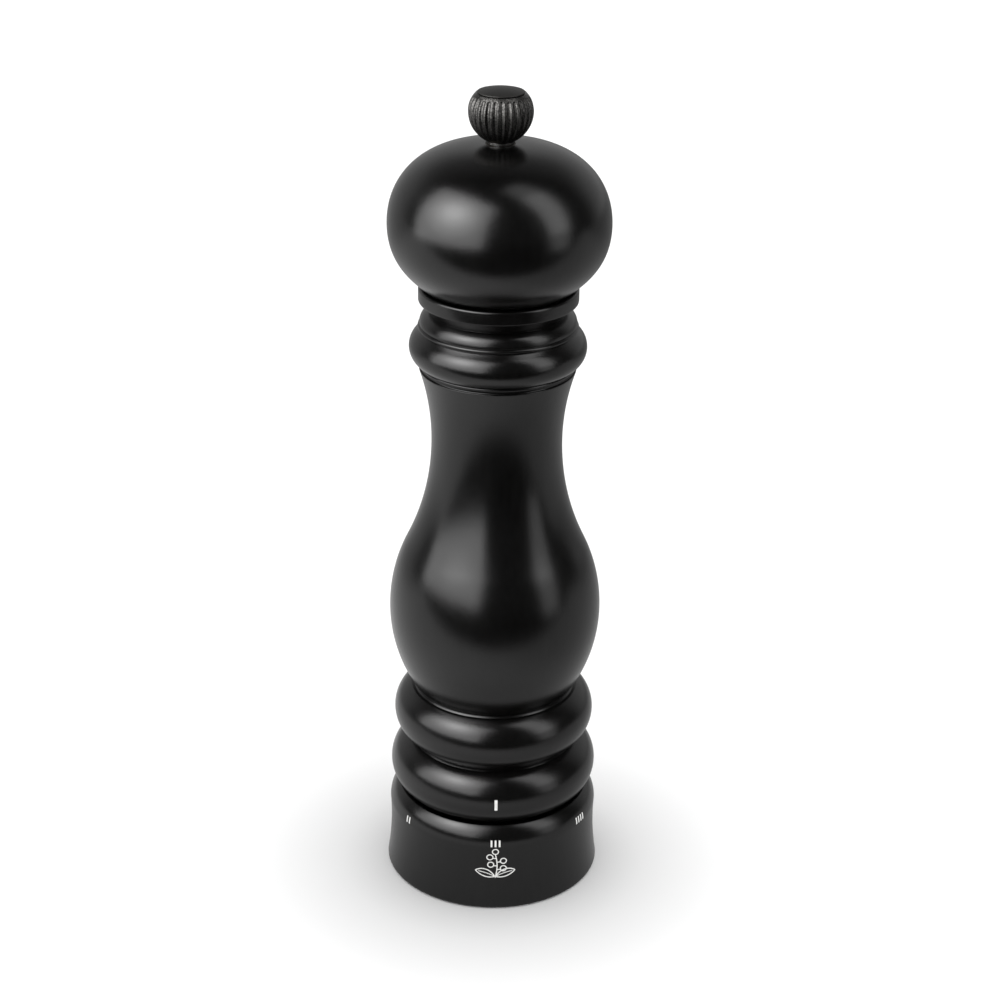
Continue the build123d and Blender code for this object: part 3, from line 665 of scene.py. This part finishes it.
def barrel_outline():
    """Half section of the barrel: beads, bulb, waist and collar outside, three bores inside."""
    groove = (bead_groove_radius, bead_groove_height)
    bulb_foot = (bulb_foot_radius, bulb_foot_height)
    lower_bead = arc_through(
        (barrel_foot_radius, barrel_foot), (lower_bead_radius, lower_bead_height), groove
    )
    upper_bead = arc_through(groove, (upper_bead_radius, upper_bead_height), bulb_foot)
    outline = shortened(lower_bead, lower_bead_quirk[0][0] + QUIRK_WIDTH) + list(lower_bead_quirk)
    outline += shortened(upper_bead, upper_bead_quirk[0][0] + QUIRK_WIDTH) + list(upper_bead_quirk)
    outline += bulb_and_waist()
    outline += [(lower_quirk_radius, neck_top_height)]
    outline += half_round(lower_quirk_radius, lower_ring_radius, lower_ring_foot, lower_ring_top)
    outline += [(lower_quirk_radius, collar_foot[1])]
    outline += arc_through(collar_foot, (collar_radius, collar_height), collar_top)
    quirk_height = collar_top[1] + collar_top[0] - upper_quirk_radius
    outline += [(upper_quirk_radius, quirk_height)]
    outline += half_round(upper_quirk_radius, upper_ring_radius, upper_ring_foot, upper_ring_top)
    outline += arc_leaving_upright(ovolo_foot, ovolo_top)
    outline += arc_through(ovolo_top, rim_hollow, (rim_radius - rim_fillet, rim_side_height - rim_fillet))
    outline += arc_about((rim_radius - rim_fillet, rim_side_height), rim_fillet, -math.pi / 2, math.pi / 2, 8)
    rim_centre = (rim_radius - rim_edge, barrel_top - rim_edge)
    outline += arc_about(rim_centre, rim_edge, 0, math.pi / 2, 8)
    outline += [(socket_radius, barrel_top), (socket_radius, socket_floor), (chamber_radius, socket_floor)]
    outline += [(chamber_radius, mechanism_bore_top), (mechanism_bore_radius, mechanism_bore_top)]
    outline += [(mechanism_bore_radius, barrel_foot)]
    return eased(outline)


def head_outline():
    """Half section of the head, with the tenon below and the ferrule's seat above."""
    widest = (head_radius, head_height)
    outline = bezier(
        (head_foot_radius, head_foot),
        (head_foot_radius + foot_curve_handle[0], head_foot + foot_curve_handle[1]),
        (head_radius, head_height - below_widest_handle),
        widest,
    )
    outline += bezier(
        widest,
        (head_radius, head_height + above_widest_handle),
        (head_crown_radius + crown_curve_handle[0], head_top - crown_curve_handle[1]),
        (head_crown_radius, head_top),
    )
    outline += [(ferrule_radius, head_top), (ferrule_radius, ferrule_foot)]
    outline += [(stud_hole_radius, ferrule_foot), (stud_hole_radius, shaft_hole_top)]
    outline += [(shaft_hole_radius, shaft_hole_top), (shaft_hole_radius, tenon_foot)]
    outline += [(tenon_radius, tenon_foot), (tenon_radius, head_foot)]
    return eased(outline)


def make_grind_ring():
    piece = add_piece(
        "grind_ring_turned", *lathe_mesh(ring_outline()), "grind_ring", "lacquered_wood", lacquer
    )
    paint_inside(piece, lambda r, z: r < ring_bore_radius + 0.05 and z < ring_lip_height + 0.1)
    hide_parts("grind_ring")


def make_barrel():
    piece = add_piece("barrel_turned", *lathe_mesh(barrel_outline()), "barrel", "lacquered_wood", lacquer)
    pilots = ring_spots(fixing_circle, fixing_count, fixing_angle)
    drill(piece, pilots, housing_pilot_radius, barrel_foot - 1, housing_pilot_top)
    drill(piece, [(0, fixing_circle)], detent_hole_radius, barrel_foot - 1, detent_hole_top)
    paint_inside(piece, lambda r, z: r < mechanism_bore_radius + 0.1 and z < barrel_top - 0.4)
    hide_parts("barrel")


def make_head():
    piece = add_piece("head_turned", *lathe_mesh(head_outline()), "head", "lacquered_wood", lacquer)
    pilots = ring_spots(plate_screw_circle, plate_screw_count, 0)
    drill(piece, pilots, plate_pilot_radius, tenon_foot - 1, plate_pilot_top)
    paint_inside(piece, lambda r, z: z < head_foot - 0.05 or r < ferrule_radius + 0.05)
    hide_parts("head")


# ----------------------------------------------------------------------------------- knob
def knob_wobble(angle, radius, height):
    """The knob's radius with its flutes cut, each groove ending in a round."""
    if radius < knob_insert_radius + 0.3 or height > flute_high_end + flute_half_width:
        return radius
    pitch = TURN / flute_count
    away = ((angle + pitch / 2) % pitch - pitch / 2) * knob_radius / flute_half_width
    beyond = max(0.0, height - flute_high_end, flute_low_end - height) / flute_half_width
    return radius - flute_depth * radius / knob_radius * max(0.0, 1 - away**2 - beyond**2)


def knob_outline():
    """Half section of the knob, with the insert's bore below and the disc's seat above."""
    widest = (knob_radius, knob_height)
    outline = list(reversed(arc_leaving_upright(widest, (knob_foot_radius, knob_foot), 44)))
    outline += arc_leaving_upright(widest, (knob_brow_radius, knob_brow_height), 44)
    outline += [(cap_seat_radius, knob_brow_height), (cap_seat_radius, cap_seat_height)]
    outline += [(knob_insert_radius, cap_seat_height), (knob_insert_radius, knob_foot)]
    return eased(outline, 0.12)


def make_knob():
    body = lathe_mesh(knob_outline(), segments=flute_count * 14, wobble=knob_wobble)
    piece = add_piece("knob_fluted", *body, "knob", "knob_metal", knob_metal, 60)
    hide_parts("knob_body")
    rim = (cap_radius, cap_rim_height + cap_rim_thickness)
    dome_rise = total_height - rim[1]
    dome_curve = (cap_radius**2 + dome_rise**2) / (2 * dome_rise)
    dome_swing = math.asin(cap_radius / dome_curve)
    dome = arc_about((0, total_height - dome_curve), dome_curve, math.pi / 2 - dome_swing, dome_swing, 24)
    outline = [(0, cap_seat_height), (cap_seat_radius, cap_seat_height), (cap_seat_radius, cap_rim_height)]
    outline += [(cap_radius, cap_rim_height)] + dome
    outline = [outline[0]] + eased(outline, 0.1)[1:-1] + [(0, total_height)]
    disc = lathe_mesh(outline, closed=False, segments=96)
    piece = add_piece("knob_disc", *disc, "knob", "knob_metal", cap_metal())
    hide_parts("knob_cap")


# -------------------------------------------------------------------------- printed marks
def stroke(path, width, surface, angle, closed=False):
    """A thin band of ink that follows a turned surface. The path is in millimetres across and up, from the
    Z axis's front at the given angle in degrees, and it is sunk into the surface by ink_depth."""
    count = len(path)
    verts, faces = [], []
    for i, (across, up) in enumerate(path):
        before = path[i - 1] if closed or i else path[i]
        after = path[(i + 1) % count] if closed or i < count - 1 else path[i]
        along = Vector((after[0] - before[0], after[1] - before[1])).normalized()
        side = Vector((-along.y, along.x)) * width / 2
        for sign, sink in ((1, 0), (-1, 0), (-1, 1), (1, 1)):
            s, z = across + sign * side.x, up + sign * side.y
            radius = radius_at(surface, z)
            turn = math.radians(angle) - math.pi / 2 + s / radius
            r = radius - ink_depth if sink else radius + ink_stand
            verts.append((r * math.cos(turn), r * math.sin(turn), z))
    for i in range(count if closed else count - 1):
        a, b = 4 * i, 4 * ((i + 1) % count)
        faces += [(a + k, a + (k + 1) % 4, b + (k + 1) % 4, b + k) for k in range(4)]
    if not closed:
        last = 4 * (count - 1)
        faces += [(3, 2, 1, 0), (last, last + 1, last + 2, last + 3)]
    return verts, faces


def join(parts):
    """Several lists of vertices and faces as one."""
    verts, faces = [], []
    for more_verts, more_faces in parts:
        start = len(verts)
        verts += more_verts
        faces += [tuple(start + k for k in face) for face in more_faces]
    return verts, faces


def straight(start, end, steps=10):
    """A straight path between two points."""
    across, up = end[0] - start[0], end[1] - start[1]
    return [(start[0] + across * k / steps, start[1] + up * k / steps) for k in range(steps + 1)]


def make_marks():
    ring = ring_outline()
    parts = []
    for number in range(1, 7):
        angle = (number - 3) * setting_step
        for k in range(number):
            across = (k - (number - 1) / 2) * tally_pitch
            bar = straight((across, tally_low), (across, tally_high))
            parts.append(stroke(bar, tally_width, ring, angle))
    add_piece("setting_marks", *join(parts), "grind_ring", "lacquered_wood", ink, 30)
    add_piece("sprig_motif", *join(sprig(ring)), "grind_ring", "lacquered_wood", ink, 30)
    index = stroke(straight((0, index_low), (0, index_high)), index_width, barrel_outline(), 0)
    add_piece("index_mark", *index, "barrel", "lacquered_wood", ink, 30)


def sprig(surface):
    """A plain sprig: a stem with two leaves and five peppercorns in outline."""
    line, foot = sprig_line, sprig_foot
    rise = sprig_crown - foot
    stem_steps = 24
    stem = []
    for k in range(stem_steps + 1):
        share = k / stem_steps
        stem.append((sprig_sway * math.sin(math.pi * share), foot + rise * share))
    parts = [stroke(stem, line, surface, 0)]
    for up, side in ((0.34, 1), (0.5, -1), (0.66, 1), (0.82, -1), (1.06, 0)):
        lean = sprig_sway * math.sin(math.pi * min(up, 1))
        centre = (lean + side * corn_reach, foot + rise * up + corn_lift)
        corn = arc_about(centre, corn_radius, 0, TURN * 23 / 24, 23)
        parts.append(stroke(corn, line, surface, 0, closed=True))
        if side:
            start = (sprig_sway * math.sin(math.pi * up), foot + rise * up)
            end = (centre[0] - side * (corn_radius - 0.06), centre[1] - 0.3)
            parts.append(stroke(straight(start, end, 4), line, surface, 0))
    for side in (1, -1):
        tip = (side * 5.4, foot + 2.2)
        start = (0.1 * side, foot + 0.4)
        over = bezier(start, (side * 1.6, foot + 3.0), (side * 3.8, foot + 3.3), tip, 16)
        under = bezier(tip, (side * 4.2, foot + 0.6), (side * 1.9, foot - 0.2), start, 16)
        parts.append(stroke((over + under[1:-1]), line, surface, 0, closed=True))
        vein = bezier(start, (side * 1.8, foot + 1.4), (side * 3.3, foot + 1.8), (side * 4.6, foot + 2.0), 10)
        parts.append(stroke(vein, line * 0.7, surface, 0))
    return parts


# ------------------------------------------------------------------- CAD nodes that stay
def dress(material, *nodes):
    """CAD nodes take a material in every slot they have."""
    for name in nodes:
        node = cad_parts[name]
        if not node.material_slots:
            node.data.materials.append(material)
        for material_slot in node.material_slots:
            material_slot.material = material


def dress_mechanism():
    steel = brushed_metal("bright_steel", (0.52, 0.51, 0.50), (0.66, 0.65, 0.64))
    # painted shade: the ferrule's and knob insert's brass is coloured near black, standing for the shade
    # under the knob
    brass = brushed_metal("brass_dark_as_painted_shade", (0.035, 0.031, 0.025), (0.06, 0.052, 0.04), (0.3, 0.42))
    spring = drawn_metal("spring_steel", (0.36, 0.35, 0.34), (0.5, 0.49, 0.48), (0.22, 0.34))
    aluminium = drawn_metal("drawn_aluminium", (0.74, 0.74, 0.75), (0.84, 0.84, 0.85), (0.28, 0.4))
    black = moulded_plastic("black_nylon", (0.012, 0.012, 0.013), (0.022, 0.022, 0.024))
    grey = moulded_plastic("ring_nylon", (0.018, 0.018, 0.02), (0.032, 0.032, 0.035), (0.36, 0.5))
    acetal = moulded_plastic("ivory_acetal", (0.66, 0.64, 0.58), (0.76, 0.74, 0.68), (0.3, 0.42), 0.2)
    dress(steel, "drive_plate", "plate_screws", "housing_screws", "bridge_screws", "rotor_screw")
    dress(steel, "rotor_washer", "detent_ball")
    # painted shade: the washer takes the knob's dark metal, standing for the shade under the knob
    dress(knob_metal, "knob_washer")
    dress(brass, "head_ferrule", "knob_insert")
    dress(spring, "rotor_spring", "detent_spring", "retaining_wire", "shaft_clip", "spring_seat")
    dress(aluminium, "shaft")
    dress(hard_burr_steel(), "rotor", "stator_ring")
    dress(black, "mechanism_housing", "top_bridge")
    dress(grey, "ring_insert", "stator_carrier")
    dress(acetal, "shaft_bush", "thrust_washer")


# --------------------------------------------------------------------- studio and camera
camera_distance = 0.550
camera_height = 0.358
camera_pitch = 24.31
camera_roll = 0.74
camera_swing = -2.1
camera_aside = 0.00063
sensor_width = 36.0
lens = 82.21

# Studio: where the two softboxes stand, in degrees, the sky, and the painted shadow on the floor round the
# foot.
key_azimuth = -53
key_lean = 14
strip_azimuth = 62
strip_lean = 34
sky_strength = 1.21
walls_radius = 4.0
stage_size = 12.0
painted_shadow_middle = -0.003
painted_shadow_start = 0.027
painted_shadow_end = 0.07


def make_camera():
    """A level-headed product view from the front, a little above the mill."""
    data = bpy.data.cameras.new("camera")
    data.sensor_width = sensor_width
    data.lens = lens
    camera = bpy.data.objects.new("camera", data)
    bpy.context.scene.collection.objects.link(camera)
    camera.matrix_world = (
        Matrix.Rotation(math.radians(camera_swing), 4, "Z")
        @ Matrix.Translation((camera_aside, -camera_distance, camera_height))
        @ Matrix.Rotation(math.radians(90 - camera_pitch), 4, "X")
        @ Matrix.Rotation(math.radians(camera_roll), 4, "Z")
    )
    bpy.context.scene.camera = camera


def see_only(thing, camera=False, diffuse=False, glossy=False, shadow=False):
    """Which rays meet an object of the studio."""
    thing.visible_camera = camera
    thing.visible_diffuse = diffuse
    thing.visible_glossy = glossy
    thing.visible_shadow = shadow
    thing.visible_transmission = camera
    thing.visible_volume_scatter = False


def softbox(name, azimuth, distance, height, lean, width, length, radiance, shape="RECTANGLE"):
    """A light panel seen by reflections only. Azimuth is in degrees from the camera's side, to its
    right, and lean tips the panel's face down."""
    data = bpy.data.lights.new(name, "AREA")
    data.shape = shape
    data.size = width
    data.size_y = length
    share = math.pi / 4 if shape == "ELLIPSE" else 1.0
    data.energy = radiance * math.pi * width * length * share
    light = bpy.data.objects.new(name, data)
    bpy.context.scene.collection.objects.link(light)
    light.matrix_world = (
        Matrix.Rotation(math.radians(camera_swing + azimuth), 4, "Z")
        @ Matrix.Translation((0, -distance, height))
        @ Matrix.Rotation(math.radians(90 - lean), 4, "X")
    )
    see_only(light, glossy=True)
    return light


def stage_plane(name, size, height, material):
    """A flat square of the stage."""
    mesh = bpy.data.meshes.new(name)
    half = size / 2
    corners = [(-half, -half, 0), (half, -half, 0), (half, half, 0), (-half, half, 0)]
    mesh.from_pydata(corners, [], [(0, 1, 2, 3)])
    plane = bpy.data.objects.new(name, mesh)
    plane.location.z = height
    mesh.materials.append(material)
    bpy.context.scene.collection.objects.link(plane)
    return plane


def make_floor():
    """A white floor with a painted shadow round the mill's foot, and the light it throws into the lacquer."""
    look = Shader("white_floor")
    away = look.nodes.new("ShaderNodeVectorMath")
    away.operation = "DISTANCE"
    away.inputs[1].default_value = (0, painted_shadow_middle, 0)
    look.links.new(look.where, away.inputs[0])
    paper = look.spread(look.noise(3, 2), -0.002, 0.002)
    uneven = look.nodes.new("ShaderNodeMath")
    look.links.new(away.outputs["Value"], uneven.inputs[0])
    look.links.new(paper, uneven.inputs[1])
    # painted shadow: the floor's colour is grey near the mill's foot, a little more so in front, and whitens
    # further away
    look.colour(
        look.ramp(
            look.spread(uneven.outputs[0], 0, 1, painted_shadow_start, painted_shadow_end),
            (0.0, (0.74, 0.74, 0.74)),
            (0.35, (0.86, 0.86, 0.86)),
            (1.0, (0.985, 0.985, 0.985)),
        )
    )
    look.set(Roughness=0.9, Specular_IOR_Level=0.1)
    floor = stage_plane("floor", stage_size, -0.0002, look.material)
    see_only(floor, camera=True, diffuse=True, shadow=True)
    glow = stage_plane("floor_glow", stage_size, -0.0001, floor_glow())
    see_only(glow, glossy=True)


def emitter(name):
    """An emission material, its nodes and the emission's strength socket."""
    material = bpy.data.materials.new(name)
    material.use_nodes = True
    tree = material.node_tree
    tree.nodes.clear()
    output = tree.nodes.new("ShaderNodeOutputMaterial")
    emission = tree.nodes.new("ShaderNodeEmission")
    tree.links.new(emission.outputs[0], output.inputs["Surface"])
    material.cycles.emission_sampling = "NONE"
    return material, tree, emission.inputs["Strength"]


def product(tree, factors):
    """The factors multiplied together."""
    result = factors[0]
    for factor in factors[1:]:
        node = tree.nodes.new("ShaderNodeMath")
        node.operation = "MULTIPLY"
        tree.links.new(result, node.inputs[0])
        tree.links.new(factor, node.inputs[1])
        result = node.outputs[0]
    return result


def graded(tree, value, start, end, low, high):
    """A smooth change from low to high as the value goes from start to end."""
    node = tree.nodes.new("ShaderNodeMapRange")
    node.interpolation_type = "SMOOTHSTEP"
    for name, number in (("From Min", start), ("From Max", end), ("To Min", low), ("To Max", high)):
        node.inputs[name].default_value = number
    tree.links.new(value, node.inputs["Value"])
    return node.outputs["Result"]


def floor_glow():
    """What reflections see of the floor: a glowing white table top that ends in front, with a painted shadow
    round the mill's foot and painted dimming to the right and behind.
    """
    material, tree, strength = emitter("floor_glow")
    position = tree.nodes.new("ShaderNodeNewGeometry").outputs["Position"]
    split = tree.nodes.new("ShaderNodeSeparateXYZ")
    tree.links.new(position, split.inputs[0])
    away = tree.nodes.new("ShaderNodeVectorMath")
    away.operation = "LENGTH"
    tree.links.new(position, away.inputs[0])
    x, y = split.outputs["X"], split.outputs["Y"]
    # painted shadow round the foot, then painted falloff of the floor's light to the right and behind, then
    # the table top's front edge
    factors = [
        graded(tree, away.outputs["Value"], 0.03, 0.10, 0.62, 1.0),
        graded(tree, x, -0.12, 0.16, 0.86, 0.46),
        graded(tree, y, -0.22, -0.16, 0.02, 1.0),
        graded(tree, y, 0.05, 0.45, 1.0, 0.5),
    ]
    tree.links.new(product(tree, factors), strength)
    return material


def make_surroundings():
    """A dark studio with a grey wall behind, seen by reflections only, and a white sky for the floor."""
    material, tree, strength = emitter("studio_walls")
    position = tree.nodes.new("ShaderNodeNewGeometry").outputs["Position"]
    split = tree.nodes.new("ShaderNodeSeparateXYZ")
    tree.links.new(position, split.inputs[0])
    wall = graded(tree, split.outputs["Y"], 0.6, 2.4, 0.04, 0.45)
    under = graded(tree, split.outputs["Z"], 1.6, 3.0, 1.0, 0.35)
    tree.links.new(product(tree, [wall, under]), strength)
    mesh = bpy.data.meshes.new("studio_walls")
    bm = bmesh.new()
    bmesh.ops.create_icosphere(bm, subdivisions=4, radius=walls_radius)
    bm.to_mesh(mesh)
    bm.free()
    mesh.materials.append(material)
    walls = bpy.data.objects.new("studio_walls", mesh)
    bpy.context.scene.collection.objects.link(walls)
    see_only(walls, glossy=True)

    world = bpy.data.worlds.new("white_studio")
    bpy.context.scene.world = world
    world.use_nodes = True
    background = world.node_tree.nodes["Background"]
    background.inputs["Color"].default_value = (1, 1, 1, 1)
    background.inputs["Strength"].default_value = sky_strength
    world.cycles_visibility.glossy = False


def make_lights():
    """A square softbox at the left, brighter towards its middle, and a tall strip at the right."""
    softbox("key_panel", key_azimuth, 0.365, 0.42, key_lean, 0.64, 0.62, 3.0)
    for number, (size, radiance) in enumerate(((0.46, 1.5), (0.30, 2.3), (0.16, 3.0))):
        distance = 0.36 - 0.002 * number
        name = f"key_centre_{number}"
        softbox(name, key_azimuth, distance, 0.43, key_lean, size, size, radiance, "ELLIPSE")
    softbox("strip_panel", strip_azimuth, 0.415, 0.476, strip_lean, 0.24, 1.15, 1.1)
    softbox("strip_centre", strip_azimuth, 0.405, 0.47, strip_lean, 0.20, 0.55, 1.2)


# ------------------------------------------------------------------------------- making
make_camera()
make_grind_ring()
make_barrel()
make_head()
make_knob()
make_marks()
dress_mechanism()
make_floor()
make_surroundings()
make_lights()

bpy.context.scene.view_settings.view_transform = "Standard"
bpy.context.scene.view_settings.look = "None"
